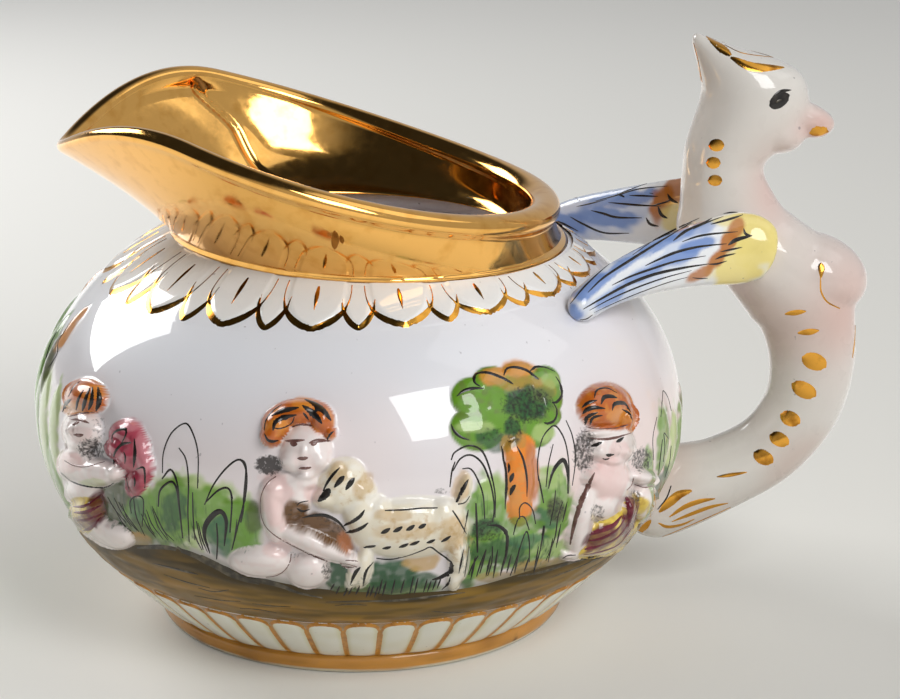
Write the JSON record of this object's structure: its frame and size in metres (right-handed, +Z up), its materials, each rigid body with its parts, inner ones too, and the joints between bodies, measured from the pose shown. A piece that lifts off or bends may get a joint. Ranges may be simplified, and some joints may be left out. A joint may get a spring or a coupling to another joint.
{
  "type": "creamer",
  "caption": "Squat round porcelain cream jug with a flared gold spout collar, a moulded frieze of figures and plants, and a winged creature with a curling tail as its handle.",
  "frame": {"origin": "on the table, midway between the spout's tip and the outside of the handle, in the jug's plane of symmetry", "axes": "+X from the spout to the handle, +Z up; the bowl's axis is vertical at x = -0.0156 m"},
  "size_m": [0.1464, 0.12, 0.1021],
  "materials": {
    "white_glaze": "glossy white glaze with a faint lilac and pink blush",
    "gold_lustre": "mirror-bright fired gold lustre over the glaze",
    "ochre_band": "ochre enamel with a gold wash",
    "cream_glaze": "glossy cream glaze, tongues outlined in gold",
    "earth_glaze": "brushed olive-brown enamel under gloss",
    "skin_glaze": "glossy white glaze with a pink blush and painted hair and cloth",
    "goat_glaze": "glossy tan enamel with dark dashes",
    "leaf_glaze": "glossy green enamel with dark outlines",
    "berry_glaze": "glossy maroon enamel",
    "wing_glaze": "blue and white washes with dark feather strokes"
  },
  "bodies": {
    "root": {"bowl": "white_glaze", "foot_ring": "ochre_band", "tongue_band": "cream_glaze", "ground_band": "earth_glaze", "petal_ring": "white_glaze", "spout_collar": "gold_lustre", "tail_handle": "white_glaze", "torso": "white_glaze", "head": "white_glaze", "wing_left": "wing_glaze", "wing_right": "wing_glaze", "kneeling_putto_left": "skin_glaze", "goat_left": "goat_glaze", "tree_left": "leaf_glaze", "draped_putto_left": "skin_glaze", "flower_putto_left": "skin_glaze", "flower_bunch_left": "berry_glaze", "left_grass_left": "leaf_glaze", "back_grass_left": "leaf_glaze", "middle_grass_left": "leaf_glaze", "right_grass_left": "leaf_glaze", "handle_leaves_left": "leaf_glaze", "kneeling_putto_right": "skin_glaze", "goat_right": "goat_glaze", "tree_right": "leaf_glaze", "draped_putto_right": "skin_glaze", "flower_putto_right": "skin_glaze", "flower_bunch_right": "berry_glaze", "left_grass_right": "leaf_glaze", "back_grass_right": "leaf_glaze", "middle_grass_right": "leaf_glaze", "right_grass_right": "leaf_glaze", "handle_leaves_right": "leaf_glaze", "spout_plant": "leaf_glaze"}
  },
  "joints": []
}
